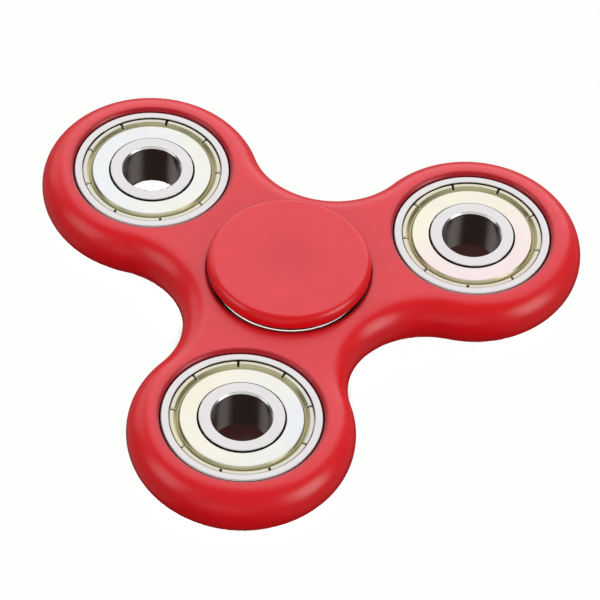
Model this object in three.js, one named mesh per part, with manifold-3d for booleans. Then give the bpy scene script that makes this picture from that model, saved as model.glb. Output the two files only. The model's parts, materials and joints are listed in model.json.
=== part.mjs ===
// Three-lobed fidget spinner. A moulded body turns on a shielded deep-groove ball bearing that is
// held between two finger caps, and three more bearings of the same size sit in the lobes as weights.
// Every bearing is complete: two rings, seven balls, a cage in two halves and two pressed shields.
// Millimetres. +Z is the spin axis, and the origin is on it, at the flat outer face of the lower cap.

import * as THREE from 'three';
import { mergeVertices } from 'three/addons/utils/BufferGeometryUtils.js';
import Module from 'manifold-3d';

// ---- Bearing, a standard 8 x 22 x 7 size; z is measured from its middle plane ----

const RING_OUTER_RADIUS = 11;
const BORE_RADIUS = 4;
const RING_HALF_WIDTH = 3.5;
const BALL_COUNT = 7;
const BALL_RADIUS = 1.984;
const PITCH_RADIUS = 7.5;
const OUTER_RING_CHAMFER = 0.3;
const BORE_CHAMFER = 0.5;
const RACE_RADIUS = 2.2; // to a groove's corners from the ball centre, so its flats clear the ball
const RACE_FLOOR_HALF_ANGLE = 18;
const OUTER_SHOULDER_RADIUS = 9.05;
const INNER_SHOULDER_RADIUS = 5.75;
const SHIELD_SEAT_RADIUS = 9.85;
const SHIELD_SEAT_DEPTH = 0.7;

// ---- Pressed shield: a bead in the outer ring's seat, a low channel and a raised flat disc ----

const SHIELD_OUTER_RADIUS = 9.75;
const SHIELD_BEAD_RADIUS = 9.25; // inner edge of the bead
const SHIELD_CHANNEL_RADIUS = 8.8;
const SHIELD_DISC_RADIUS = 8.4;
const SHIELD_INNER_RADIUS = 6.05;
const SHIELD_BEAD = 3.3;
const SHIELD_CHANNEL = 3.0;
const SHIELD_DISC = 3.2;
const SHIELD_UNDERSIDE = 2.84;
const SHIELD_SHEET = 0.22;

// ---- Ribbon cage: two corrugated halves that meet between the balls and arch over each one ----

const CAGE_INNER_RADIUS = 6.6;
const CAGE_OUTER_RADIUS = 8.4;
const CAGE_SHEET = 0.35;
const CAGE_POCKET_RADIUS = 2.25;
const CAGE_HALF_GAP = 0.05;

// ---- Body: three round lobes joined by round waists, with a full round edge ----

const LOBES = [
  { name: 'left', degrees: 150 },
  { name: 'right', degrees: 30 },
  { name: 'front', degrees: 270 },
];
const LOBE_CENTRE_RADIUS = 26.75;
const LOBE_RADIUS = 15.5;
const WAIST_RADIUS = 11.35;
const BODY_THICKNESS = 7.8;
const EDGE_RADIUS = 3.8; // leaves a narrow upright land at the parting line
const SEAT_GAP = 0.05;
const SEAT_MOUTH_RADIUS = 0.8; // convex rounding where a bearing seat opens

// ---- Finger caps: a disc that stands off the body, a shoulder on the ring and a stub in the bore ----

const CAP_RADIUS = 11.35;
const CAP_TOP = 6.3; // half the overall height
const CAP_UNDERSIDE = 4.35;
const CAP_EDGE_RADIUS = 1.1;
const CAP_LOWER_CHAMFER = 0.15;
const CAP_SHOULDER_RADIUS = 5.5;
const CAP_RING_GAP = 0.02;
const STUB_RADIUS = 3.92;
const STUB_END = 0.15; // from the middle plane, so the two stubs don't quite meet
const STUB_CHAMFER = 0.3;

// ---- Facets ----

const RING_SIDES = 36; // the same for seats, rings, shields and caps, so their flats line up
const EDGE_STEPS = 4;
const LOBE_ARC_STEPS = 20;
const WAIST_ARC_STEPS = 8;
const BALL_DETAIL = 1;

const finishes = {
  redPlastic: new THREE.MeshStandardMaterial({ color: 0xc81f2a, roughness: 0.28, metalness: 0 }),
  ringSteel: new THREE.MeshStandardMaterial({ color: 0xc9c8d0, roughness: 0.22, metalness: 1 }),
  shieldSteel: new THREE.MeshStandardMaterial({ color: 0xc2b48a, roughness: 0.35, metalness: 1 }),
  ballSteel: new THREE.MeshStandardMaterial({ color: 0xdcdce0, roughness: 0.08, metalness: 1 }),
  cageSteel: new THREE.MeshStandardMaterial({ color: 0xa8a49a, roughness: 0.4, metalness: 1 }),
};

const radians = THREE.MathUtils.degToRad;
const wasm = await Module();
wasm.setup();

// ---- Helpers ----

// A point at the given distance and angle from the origin of its plane.
function polar(radius, angle) {
  return new THREE.Vector2(radius * Math.cos(angle), radius * Math.sin(angle));
}

// Points along an arc, both ends included.
function arcPoints(centre, radius, from, to, steps) {
  return Array.from({ length: steps + 1 }, (_, i) =>
    polar(radius, from + ((to - from) * i) / steps).add(centre));
}

// The same half section mirrored in the middle plane, so that an upward run becomes a whole one.
function mirrored(upper) {
  const lower = upper.map(([r, z]) => [r, -z]).reverse();
  return [...lower, ...upper];
}

// A solid of revolution about +Z from a section of [radius, z] points.
function revolve(section) {
  const points = section.map(([r, z]) => new THREE.Vector2(r, z));
  return new THREE.LatheGeometry(points, RING_SIDES).rotateX(Math.PI / 2);
}

function revolveRing(section) {
  return revolve([...section, section[0]]);
}

function toSolid(geometry) {
  const bare = geometry.clone();
  bare.deleteAttribute('normal');
  bare.deleteAttribute('uv');
  const merged = mergeVertices(bare, 1e-4);
  return new wasm.Manifold(new wasm.Mesh({
    numProp: 3,
    vertProperties: merged.attributes.position.array,
    triVerts: new Uint32Array(merged.index.array),
  }));
}

function toGeometry(solid) {
  const mesh = solid.getMesh();
  const geometry = new THREE.BufferGeometry();
  geometry.setAttribute('position', new THREE.BufferAttribute(mesh.vertProperties, 3));
  geometry.setIndex(new THREE.BufferAttribute(mesh.triVerts, 1));
  geometry.computeVertexNormals();
  return geometry;
}

function part(name, geometry, finish) {
  const mesh = new THREE.Mesh(geometry, finish);
  mesh.name = name;
  return mesh;
}

// The same piece on the other side of the middle plane, turned over about X.
function turnedOver(mesh) {
  mesh.rotation.x = Math.PI;
  return mesh;
}

// ---- Spinner body ----

// Each lobe arc meets the next waist arc where the line between their centres crosses both.
function bodyOutline() {
  const reach = LOBE_RADIUS + WAIST_RADIUS;
  const waistCentreRadius = (LOBE_CENTRE_RADIUS
    + Math.sqrt(4 * reach ** 2 - 3 * LOBE_CENTRE_RADIUS ** 2)) / 2;
  const lobeCentre = polar(LOBE_CENTRE_RADIUS, 0);
  const waistCentre = polar(waistCentreRadius, radians(60));
  const meet = waistCentre.clone().sub(lobeCentre).angle();
  const points = [];
  for (const turn of [0, 120, 240].map(radians)) {
    const facing = turn + radians(30);
    const lobe = arcPoints(polar(LOBE_CENTRE_RADIUS, facing), LOBE_RADIUS,
      facing - meet, facing + meet, LOBE_ARC_STEPS);
    const waist = arcPoints(polar(waistCentreRadius, facing + radians(60)), WAIST_RADIUS,
      facing + meet + Math.PI, facing + radians(120) - meet - Math.PI + 2 * Math.PI,
      WAIST_ARC_STEPS);
    points.push(...lobe, ...waist.slice(1, -1));
  }
  return points;
}

// The hole for one bearing, with a rounded mouth on both faces.
function seatCutter() {
  const radius = RING_OUTER_RADIUS + SEAT_GAP;
  const face = BODY_THICKNESS / 2;
  const mouth = [90, 45, 0].map(radians).map((a) => [
    radius + SEAT_MOUTH_RADIUS * (1 - Math.sin(a)),
    face - SEAT_MOUTH_RADIUS * (1 - Math.cos(a)),
  ]);
  const beyond = [radius + SEAT_MOUTH_RADIUS * 1.5, face + 1];
  return revolve(mirrored([...mouth, beyond, [0, beyond[1]]]));
}

function bodyGeometry() {
  const land = BODY_THICKNESS - 2 * EDGE_RADIUS;
  const slab = new THREE.ExtrudeGeometry(new THREE.Shape(bodyOutline()), {
    depth: land,
    bevelThickness: EDGE_RADIUS,
    bevelSize: EDGE_RADIUS,
    bevelOffset: -EDGE_RADIUS,
    bevelSegments: EDGE_STEPS,
  }).translate(0, 0, -land / 2);
  let solid = toSolid(slab);
  for (const { x, y } of [new THREE.Vector2(), ...LOBES.map(lobeCentreOf)]) {
    solid = solid.subtract(toSolid(seatCutter().translate(x, y, 0)));
  }
  return toGeometry(solid);
}

function lobeCentreOf(lobe) {
  return polar(LOBE_CENTRE_RADIUS, radians(lobe.degrees));
}

// ---- Bearing pieces ----

// The edge and the floor corner of a race groove that opens in a shoulder of the given radius.
function groove(shoulderRadius) {
  const side = Math.sign(shoulderRadius - PITCH_RADIUS);
  const floor = radians(RACE_FLOOR_HALF_ANGLE);
  return {
    edge: [shoulderRadius, Math.sqrt(RACE_RADIUS ** 2 - (shoulderRadius - PITCH_RADIUS) ** 2)],
    floor: [PITCH_RADIUS + side * RACE_RADIUS * Math.cos(floor), RACE_RADIUS * Math.sin(floor)],
  };
}

function outerRingGeometry() {
  const face = RING_HALF_WIDTH;
  const seatFloor = face - SHIELD_SEAT_DEPTH;
  const race = groove(OUTER_SHOULDER_RADIUS);
  const inside = [
    [SHIELD_SEAT_RADIUS, face],
    [SHIELD_SEAT_RADIUS, seatFloor],
    [OUTER_SHOULDER_RADIUS, seatFloor],
    race.edge,
    race.floor,
  ];
  const outside = [
    [RING_OUTER_RADIUS, face - OUTER_RING_CHAMFER],
    [RING_OUTER_RADIUS - OUTER_RING_CHAMFER, face],
  ];
  return revolveRing(mirrored([...outside, ...inside]));
}

function innerRingGeometry() {
  const face = RING_HALF_WIDTH;
  const race = groove(INNER_SHOULDER_RADIUS);
  const outside = [
    race.floor,
    race.edge,
    [INNER_SHOULDER_RADIUS, face],
  ];
  const bore = [
    [BORE_RADIUS + BORE_CHAMFER, face],
    [BORE_RADIUS, face - BORE_CHAMFER],
  ];
  return revolveRing(mirrored([...outside, ...bore]));
}

function shieldGeometry() {
  return revolveRing([
    [SHIELD_OUTER_RADIUS, SHIELD_UNDERSIDE],
    [SHIELD_OUTER_RADIUS, SHIELD_BEAD],
    [SHIELD_BEAD_RADIUS, SHIELD_BEAD],
    [SHIELD_CHANNEL_RADIUS, SHIELD_CHANNEL],
    [SHIELD_DISC_RADIUS, SHIELD_DISC],
    [SHIELD_INNER_RADIUS, SHIELD_DISC],
    [SHIELD_INNER_RADIUS, SHIELD_DISC - SHIELD_SHEET],
    [SHIELD_DISC_RADIUS, SHIELD_UNDERSIDE],
  ]);
}

// One half of the cage, on the +Z side: a strip whose stations run flat between the balls and
// follow an arch over each ball, with its under and upper surfaces a sheet thickness apart.
function cageHalfGeometry() {
  const stations = [];
  const flat = { under: CAGE_HALF_GAP, upper: CAGE_HALF_GAP + CAGE_SHEET };
  const upperRadius = CAGE_POCKET_RADIUS + CAGE_SHEET;
  for (let ball = 0; ball < BALL_COUNT; ball += 1) {
    const middle = (ball * 2 * Math.PI) / BALL_COUNT;
    for (const a of [-90, -45, 0, 45, 90].map(radians)) {
      stations.push({
        underAngle: middle + (CAGE_POCKET_RADIUS * Math.sin(a)) / PITCH_RADIUS,
        upperAngle: middle + (upperRadius * Math.sin(a)) / PITCH_RADIUS,
        under: Math.max(flat.under, CAGE_POCKET_RADIUS * Math.cos(a)),
        upper: Math.max(flat.upper, upperRadius * Math.cos(a)),
      });
    }
  }
  const positions = [];
  for (const s of stations) {
    const corners = [
      [CAGE_INNER_RADIUS, s.underAngle, s.under],
      [CAGE_OUTER_RADIUS, s.underAngle, s.under],
      [CAGE_OUTER_RADIUS, s.upperAngle, s.upper],
      [CAGE_INNER_RADIUS, s.upperAngle, s.upper],
    ];
    for (const [r, angle, z] of corners) {
      positions.push(r * Math.cos(angle), r * Math.sin(angle), z);
    }
  }
  const index = [];
  for (let i = 0; i < stations.length; i += 1) {
    const here = 4 * i;
    const next = 4 * ((i + 1) % stations.length);
    for (let c = 0; c < 4; c += 1) {
      const d = (c + 1) % 4;
      index.push(here + c, next + c, next + d, here + c, next + d, here + d);
    }
  }
  const geometry = new THREE.BufferGeometry();
  geometry.setAttribute('position', new THREE.Float32BufferAttribute(positions, 3));
  geometry.setIndex(index);
  geometry.computeVertexNormals();
  return geometry;
}

// A whole bearing with its middle plane at z = 0, its pieces named after the place it sits in.
function bearing(place, centre) {
  const assembly = new THREE.Group();
  assembly.position.set(centre.x, centre.y, 0);
  assembly.add(part(`${place}_outer_ring`, outerRingGeometry(), finishes.ringSteel));
  assembly.add(part(`${place}_inner_ring`, innerRingGeometry(), finishes.ringSteel));
  for (let i = 0; i < BALL_COUNT; i += 1) {
    const geometry = new THREE.IcosahedronGeometry(BALL_RADIUS, BALL_DETAIL);
    const ball = part(`${place}_ball_${i + 1}`, geometry, finishes.ballSteel);
    const { x, y } = polar(PITCH_RADIUS, (i * 2 * Math.PI) / BALL_COUNT);
    ball.position.set(x, y, 0);
    assembly.add(ball);
  }
  const cage = finishes.cageSteel;
  const shield = finishes.shieldSteel;
  assembly.add(part(`${place}_cage_upper`, cageHalfGeometry(), cage));
  assembly.add(turnedOver(part(`${place}_cage_lower`, cageHalfGeometry(), cage)));
  assembly.add(part(`${place}_shield_upper`, shieldGeometry(), shield));
  assembly.add(turnedOver(part(`${place}_shield_lower`, shieldGeometry(), shield)));
  return assembly;
}

// ---- Finger caps ----

function capGeometry() {
  const roundingFoot = CAP_TOP - CAP_EDGE_RADIUS;
  const rounding = [90, 60, 30, 0].map(radians).map((a) => [
    CAP_RADIUS - CAP_EDGE_RADIUS * (1 - Math.sin(a)),
    roundingFoot + CAP_EDGE_RADIUS * Math.cos(a),
  ]);
  const shoulderFace = RING_HALF_WIDTH + CAP_RING_GAP;
  return revolve([
    [0, STUB_END],
    [STUB_RADIUS - STUB_CHAMFER, STUB_END],
    [STUB_RADIUS, STUB_END + STUB_CHAMFER],
    [STUB_RADIUS, shoulderFace],
    [CAP_SHOULDER_RADIUS, shoulderFace],
    [CAP_SHOULDER_RADIUS, CAP_UNDERSIDE],
    [CAP_RADIUS - CAP_LOWER_CHAMFER, CAP_UNDERSIDE],
    [CAP_RADIUS, CAP_UNDERSIDE + CAP_LOWER_CHAMFER],
    ...rounding,
    [0, CAP_TOP],
  ]);
}

// ---- Assembly, raised so that the lower cap's outer face lies at z = 0 ----

const spinner = new THREE.Group();
spinner.name = 'fidget_spinner';
const raised = new THREE.Group();
raised.position.z = CAP_TOP;
spinner.add(raised);

raised.add(part('spinner_body', bodyGeometry(), finishes.redPlastic));
raised.add(part('cap_upper', capGeometry(), finishes.redPlastic));
raised.add(turnedOver(part('cap_lower', capGeometry(), finishes.redPlastic)));
raised.add(bearing('centre', new THREE.Vector2()));
for (const lobe of LOBES) {
  raised.add(bearing(lobe.name, lobeCentreOf(lobe)));
}

export default spinner;
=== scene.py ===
"""Three-lobed fidget spinner with four shielded ball bearings and two finger caps.

The packed model is the frame: it says where every piece lies and what it rides on. Each piece here is a
finely worked surface that takes the place of one plain node of the frame, with a finish of its own.
"""
import json
import math

import bmesh
import bpy
import numpy as np
from bpy.props import FloatProperty, FloatVectorProperty, PointerProperty
from mathutils import Matrix, Vector


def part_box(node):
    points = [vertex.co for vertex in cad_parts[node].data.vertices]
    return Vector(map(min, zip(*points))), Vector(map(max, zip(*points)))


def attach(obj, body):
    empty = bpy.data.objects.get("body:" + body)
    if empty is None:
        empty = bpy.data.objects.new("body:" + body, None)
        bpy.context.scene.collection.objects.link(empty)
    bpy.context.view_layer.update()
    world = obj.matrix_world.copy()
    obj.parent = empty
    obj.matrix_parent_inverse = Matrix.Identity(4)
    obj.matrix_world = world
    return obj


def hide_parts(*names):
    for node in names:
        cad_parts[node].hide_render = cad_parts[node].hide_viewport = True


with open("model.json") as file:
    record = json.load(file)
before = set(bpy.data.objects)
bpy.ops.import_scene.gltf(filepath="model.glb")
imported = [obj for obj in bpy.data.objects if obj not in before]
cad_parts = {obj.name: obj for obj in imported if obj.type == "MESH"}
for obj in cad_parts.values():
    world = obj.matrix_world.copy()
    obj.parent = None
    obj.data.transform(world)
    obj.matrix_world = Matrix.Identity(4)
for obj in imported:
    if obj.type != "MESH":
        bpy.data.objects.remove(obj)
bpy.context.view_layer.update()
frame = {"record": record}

bl_info = {
    "name": "Fidget Spinner",
    "version": (1, 0, 0),
    "blender": (4, 5, 0),
    "location": "View3D > Sidebar > Fidget Spinner",
    "description": "Builds a three-lobed fidget spinner with its bearings, and a small studio for it",
    "category": "Add Mesh",
}

MM = 0.001
TURN = 2 * math.pi
PLACES = ("centre", "left", "right", "front")
LOBE_TURNS = [math.radians(degrees) for degrees in (30, 150, 270)]
SIDES_OF_PLANE = {"upper": 1, "lower": -1}
BALL_COUNT = 7
SLIT_COUNT = 9
BEARING_SLOTS = ("ring_steel", "shield_steel")

BODY_OF_NODE = {
    node: body
    for body, nodes in frame["record"]["behaviour"]["bodies"].items()
    for node in nodes
}


# ---- What the frame says ----


def middle(node):
    """The middle of a node's box."""
    low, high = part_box(node)
    return np.array((low + high) / 2)


def half_size(node, axis):
    """Half the length of a node's box along one axis."""
    low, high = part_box(node)
    return (high[axis] - low[axis]) / 2


MIDDLE_PLANE = middle("spinner_body")[2]
LOBE_CENTRE_RADIUS = float(np.linalg.norm(middle("front_outer_ring")[:2]))


# ---- Sizes and colours that a user would change ----


def length(name, description, default):
    """A length property, in metres."""
    return FloatProperty(
        name=name, description=description, default=default, min=0.0, unit="LENGTH", subtype="DISTANCE"
    )


def colour(name, description, default):
    """A colour property, as linear red, green and blue."""
    return FloatVectorProperty(
        name=name, description=description, default=default, min=0.0, max=1.0, size=3, subtype="COLOR"
    )


def angle(name, description, degrees):
    """An angle property, given here in degrees."""
    return FloatProperty(
        name=name, description=description, default=math.radians(degrees), unit="ROTATION", subtype="ANGLE"
    )


def radiance(name, description, default):
    """The radiance of a light."""
    return FloatProperty(name=name, description=description, default=default, min=0.0)


class BodySizes(bpy.types.PropertyGroup):
    """Sizes of the moulded body."""

    thickness: length("Thickness", "Over the two flat faces", 2 * half_size("spinner_body", 2))
    lobe_radius: length(
        "Lobe Radius",
        "Outer radius of a lobe about its bearing",
        -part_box("spinner_body")[0][1] - LOBE_CENTRE_RADIUS,
    )
    waist_radius: length("Waist Radius", "Radius of the hollow between two lobes", 11.35 * MM)
    edge_radius: length("Edge Radius", "Radius of the full round edge", 3.8 * MM)
    seat_radius: length(
        "Seat Radius", "Radius of a bearing seat", half_size("front_outer_ring", 0) + 0.1 * MM
    )
    mouth_radius: length("Mouth Radius", "Rounding where a seat opens", 0.65 * MM)


class CapSizes(bpy.types.PropertyGroup):
    """Sizes of the two finger caps, measured from the middle plane of the spinner."""

    radius: length("Radius", "Outer radius of the disc", half_size("cap_upper", 0))
    top: length("Top", "Height of the outer face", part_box("cap_upper")[1][2] - MIDDLE_PLANE)
    underside: length("Underside", "Height of the disc's underside", 4.42 * MM)
    edge_radius: length("Edge Radius", "Rounding of the outer edge", 1.1 * MM)
    shoulder_radius: length("Shoulder Radius", "Radius of the shoulder on the inner ring", 5.5 * MM)
    stub_radius: length("Stub Radius", "Radius of the stub in the bore", 3.92 * MM)
    sink_depth: length("Sink Depth", "Depth of the shallow dip over the stub", 0.06 * MM)
    sink_radius: length("Sink Radius", "Radius of the shallow dip", 4.4 * MM)


class RingSizes(bpy.types.PropertyGroup):
    """Sizes of the two rings of a bearing."""

    outer_radius: length("Outer Radius", "Outside of the outer ring", half_size("front_outer_ring", 0))
    bore_radius: length("Bore Radius", "Bore of the inner ring", 4.0 * MM)
    half_width: length("Half Width", "Half the width of both rings", half_size("front_outer_ring", 2))
    outer_rounding: length("Outer Rounding", "Corner rounding of the outer ring", 0.3 * MM)
    centre_rounding: length("Centre Rounding", "Corner rounding of the centre outer ring", 0.7 * MM)
    bore_chamfer: length("Bore Chamfer", "Chamfer at each end of the bore", 0.25 * MM)
    outer_shoulder: length("Outer Shoulder", "Radius inside the outer ring", 9.05 * MM)
    inner_shoulder: length("Inner Shoulder", "Radius outside the inner ring", 5.85 * MM)
    race_radius: length("Race Radius", "Radius of the ball grooves", 2.04 * MM)
    seat_radius: length("Shield Seat Radius", "Radius of the step that holds a shield", 9.85 * MM)
    seat_depth: length("Shield Seat Depth", "Depth of the step that holds a shield", 0.7 * MM)


class ShieldSizes(bpy.types.PropertyGroup):
    """Sizes of a pressed shield, with heights measured from the middle plane of the spinner."""

    outer_radius: length("Outer Radius", "Rim of the shield", half_size("front_shield_upper", 0))
    inner_radius: length("Inner Radius", "Hole of the shield", 6.05 * MM)
    bead: length("Bead Height", "Height of the bead at the rim", 3.3 * MM)
    channel: length("Channel Height", "Lowest height between the disc and the bead", 2.91 * MM)
    disc: length("Disc Height", "Height of the raised flat disc", 3.27 * MM)
    underside: length("Underside Height", "Height of the lowest turn of the sheet", 2.84 * MM)
    slit_width: length("Slit Width", "Width of the cuts across the bead", 0.3 * MM)
    slit_start: length("Slit Start", "Radius at which the cuts begin", 8.85 * MM)
    left_turn: angle("Left Turn", "How far the left shield's cuts are turned", 12.0)
    right_turn: angle("Right Turn", "How far the right shield's cuts are turned", 38.5)
    front_turn: angle("Front Turn", "How far the front shield's cuts are turned", 27.0)
    centre_turn: angle("Centre Turn", "How far the centre shield's cuts are turned", 5.0)


class CageSizes(bpy.types.PropertyGroup):
    """Sizes of the balls and of the ribbon cage that keeps them apart."""

    ball_radius: length("Ball Radius", "Radius of a ball", half_size("front_ball_1", 2))
    pitch_radius: length("Pitch Radius", "Radius of the circle of ball centres", 7.5 * MM)
    inner_radius: length("Inner Radius", "Inner edge of the ribbon", 6.6 * MM)
    outer_radius: length("Outer Radius", "Outer edge of the ribbon", 8.4 * MM)
    sheet: length("Sheet", "Thickness of the ribbon", 0.35 * MM)
    pocket_radius: length("Pocket Radius", "Inside of the arch over a ball", 2.25 * MM)
    rivet_radius: length("Rivet Radius", "Radius of a rivet head", 0.5 * MM)


class FinishColours(bpy.types.PropertyGroup):
    """Base colours of the finishes."""

    plastic: colour("Plastic", "Red moulded plastic", (0.63, 0.0035, 0.0075))
    # Painted shade: the red plastic is darkened where a seat opens, for the shade in the gap round a ring.
    plastic_crevice: colour("Plastic Crevice", "Red plastic where a seat opens", (0.30, 0.006, 0.012))
    plastic_shade: colour("Plastic Shade", "Deeper tone in the red plastic", (0.58, 0.0025, 0.0060))
    ring: colour("Ring Steel", "Ground steel of the rings", (0.42, 0.42, 0.39))
    plating: colour("Plating", "Pale plating of the shields", (0.455, 0.455, 0.425))
    # Partly painted shade: the yellow of the pass, darkened for the shade on the slope inside the bead.
    plating_rim_and_shade: colour("Plating Rim", "Yellower plating at the shields' rims", (0.30, 0.28, 0.15))
    # Painted shade: the floor of each cut is painted near black for the darkness in the gap.
    cut: colour("Cut", "Darkness inside the shields' cuts", (0.015, 0.014, 0.01))
    ball: colour("Ball Steel", "Polished steel of the balls", (0.62, 0.62, 0.64))
    cage: colour("Cage Steel", "Rolled strip of the cages", (0.42, 0.41, 0.39))


class StageSettings(bpy.types.PropertyGroup):
    """Floor, lights and camera."""

    lens: FloatProperty(
        name="Lens",
        description="Focal length of the camera",
        default=227.92,
        min=1.0,
        unit="CAMERA",
        subtype="DISTANCE_CAMERA",
    )
    camera_place: FloatVectorProperty(
        name="Camera Place",
        description="Where the camera stands",
        default=(66.18 * MM, -337.84 * MM, 407.39 * MM),
        size=3,
        unit="LENGTH",
        subtype="XYZ",
    )
    azimuth: angle("Azimuth", "Direction of the camera round the spinner", 10.783)
    elevation: angle("Elevation", "Height of the camera above the horizon", 49.546)
    roll: angle("Roll", "Turn of the camera about its own axis", 3.542)
    floor_size: length("Floor Size", "Side of the square floor", 4.0)
    top_softbox: radiance("Top Softbox", "Large one above the back", 1.8)
    left_softbox: radiance("Left Softbox", "Small one on the left", 2.0)
    left_backdrop: radiance("Left Backdrop", "Low panel behind the left", 1.0)
    right_softbox: radiance("Right Softbox", "Small one on the right", 4.1)
    front_fill: radiance("Front Fill", "Broad fill in front, not seen in reflections", 2.05)
    rim_softbox: radiance("Rim Softbox", "Reaches only the centre bearing's outer ring", 1.7)
    bearing_softbox: radiance("Bearing Softbox", "Reaches only rings and shields", 1.3)
    bore_beam: FloatProperty(
        name="Bore Beam",
        description="Power of the beam through the left bore",
        default=150.0,
        min=0.0,
        unit="POWER",
    )
    fill: radiance("Fill", "Even light from all round", 0.3)


# ---- Surfaces as arrays ----


def grid_faces(rows, columns, rows_meet=False, columns_meet=False, first=0):
    """Quads between neighbouring points of a grid; a direction that meets joins its end to its start."""
    i, j = np.meshgrid(
        np.arange(rows if rows_meet else rows - 1),
        np.arange(columns if columns_meet else columns - 1),
        indexing="ij",
    )
    below = (i + 1) % rows
    beside = (j + 1) % columns
    corners = (i * columns + j, i * columns + beside, below * columns + beside, below * columns + j)
    return first + np.stack(corners, axis=-1).reshape(-1, 4)


def unit(vectors):
    """The vectors at length one; a vector of no length stays as it is."""
    return vectors / np.maximum(np.linalg.norm(vectors, axis=-1, keepdims=True), 1e-12)


def rounded(corners, steps=5, support=0.03 * MM):
    """A closed outline of (across, up, radius) corners with every corner rounded by its radius.

    With u and v the unit directions from a corner P to its neighbours and h half the angle between them,
    the arc's centre is P + unit(u + v) radius / sin h, its ends are P + u radius / tan h and
    P + v radius / tan h, and its points are weighted between the two by the sines of the remaining and
    the covered angle. A support point beyond each end keeps the flats flat when they are shaded smooth.
    A corner of radius 0 stays one point.
    """
    table = np.array(corners, float)
    p = table[:, :2]
    radius = table[:, 2:]
    u = unit(np.roll(p, 1, axis=0) - p)
    v = unit(np.roll(p, -1, axis=0) - p)
    half = np.arccos(np.clip(np.sum(u * v, axis=1, keepdims=True), -1, 1)) / 2
    reach = radius / np.maximum(np.tan(half), 1e-9)
    centre = p + unit(u + v) * radius / np.maximum(np.sin(half), 1e-9)
    start = p + reach * u
    end = p + reach * v
    sweep = (math.pi - 2 * half)[:, None]
    t = np.linspace(0, 1, steps + 1)[None, :, None]
    weights = np.sin((1 - t) * sweep), np.sin(t * sweep)
    offsets = weights[0] * (start - centre)[:, None] + weights[1] * (end - centre)[:, None]
    arc = centre[:, None] + offsets / np.maximum(np.sin(sweep), 1e-9)
    beyond = np.where(radius > 0, support, 0.0)
    points = np.concatenate([(start + beyond * u)[:, None], arc, (end + beyond * v)[:, None]], axis=1)
    return without_repeats(points.reshape(-1, 2))


def without_repeats(points):
    """A closed outline without points that lie on the one before them."""
    gap = np.linalg.norm(points - np.roll(points, 1, axis=0), axis=1)
    return points[gap > 1e-9]


def arc(centre, radius, start, end, steps):
    """Points of an arc: centre + radius (cos a, sin a), with a running evenly from start to end."""
    a = np.linspace(start, end, steps + 1)
    return np.array(centre) + radius * np.stack([np.cos(a), np.sin(a)], axis=-1)


def plain(points):
    """Outline points as corners that stay sharp."""
    return [(*point, 0.0) for point in points]


def even_angles(sides):
    """Angles all the way round, without the last that would repeat the first."""
    return np.arange(sides) * TURN / sides


def turned(section, centre, angles):
    """A section of (radius, height) points carried round an upright axis through centre.

    x = cx + r cos a, y = cy + r sin a, z = cz + height. It also returns, for each point, the vector
    (cos a, sin a, distance along the section in millimetres) that the turning lines follow.
    """
    radius, height = section[:, :1], section[:, 1:]
    x = centre[0] + radius * np.cos(angles)
    y = centre[1] + radius * np.sin(angles)
    z = centre[2] + height + 0 * angles
    step = np.linalg.norm(np.diff(section, axis=0, prepend=section[:1]), axis=1)
    run = np.cumsum(step)[:, None] / MM + 0 * angles
    along = np.stack([np.cos(angles) + 0 * radius, np.sin(angles) + 0 * radius, run], axis=-1)
    return np.stack([x, y, z], axis=-1), along


def reached(name):
    """The collection of that name, which holds what a light reaches; it is made if there is none."""
    return bpy.data.collections.get(name) or bpy.data.collections.new(name)


def add_piece(node, ending, points, faces, material, **layers):
    """Makes the mesh of one piece, merges its seams, turns its faces outwards and ties it to the frame.

    Each layer is kept on the points as an attribute: three numbers a point for along, else one. Rings and
    shields join what the bearing softbox reaches.
    """
    mesh = bpy.data.meshes.new(f"{node}_{ending}")
    mesh.from_pydata(points.reshape(-1, 3), [], faces)
    for name, values in layers.items():
        kind, field = ("FLOAT_VECTOR", "vector") if name == "along" else ("FLOAT", "value")
        layer = mesh.attributes.new(name, kind, "POINT")
        layer.data.foreach_set(field, values.astype(np.float32).ravel())
    shell = bmesh.new()
    shell.from_mesh(mesh)
    bmesh.ops.remove_doubles(shell, verts=shell.verts, dist=1e-7)
    bmesh.ops.recalc_face_normals(shell, faces=shell.faces)
    shell.to_mesh(mesh)
    shell.free()
    mesh.shade_smooth()
    mesh.materials.append(material)
    piece = bpy.data.objects.new(f"{node}_{ending}", mesh)
    bpy.context.scene.collection.objects.link(piece)
    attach(piece, BODY_OF_NODE[node])
    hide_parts(node)
    if material["slot"] in BEARING_SLOTS:
        reached("bearings_only").objects.link(piece)
    return piece


# ---- Shared effects, as node groups ----

# A mix node has sockets for every kind of value under the same names, so its colour sockets go by place.
MIX_COLOUR_A = 6
MIX_COLOUR_B = 7
MIX_COLOUR_RESULT = 2


def new_group(name, inputs, outputs):
    """A shader node group with its named sockets, and its two end nodes."""
    group = bpy.data.node_groups.new(name, "ShaderNodeTree")
    for label, kind, value in inputs:
        socket = group.interface.new_socket(label, in_out="INPUT", socket_type=kind)
        if value is not None:
            socket.default_value = value
    for label, kind in outputs:
        group.interface.new_socket(label, in_out="OUTPUT", socket_type=kind)
    return group, group.nodes.new("NodeGroupInput"), group.nodes.new("NodeGroupOutput")


def feed(tree, node, inputs):
    """Sets the inputs of a node, or links those for which a socket is given."""
    for name, value in inputs.items():
        if isinstance(value, bpy.types.NodeSocket):
            tree.links.new(value, node.inputs[name])
        else:
            node.inputs[name].default_value = value
    return node


def put(tree, kind, inputs=(), **settings):
    """Adds a node, sets its options and feeds its inputs."""
    node = tree.nodes.new(kind)
    for name, value in settings.items():
        setattr(node, name, value)
    return feed(tree, node, dict(inputs))


def object_place(tree):
    """Where a point lies in its own object."""
    return put(tree, "ShaderNodeTexCoord").outputs["Object"]


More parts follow.
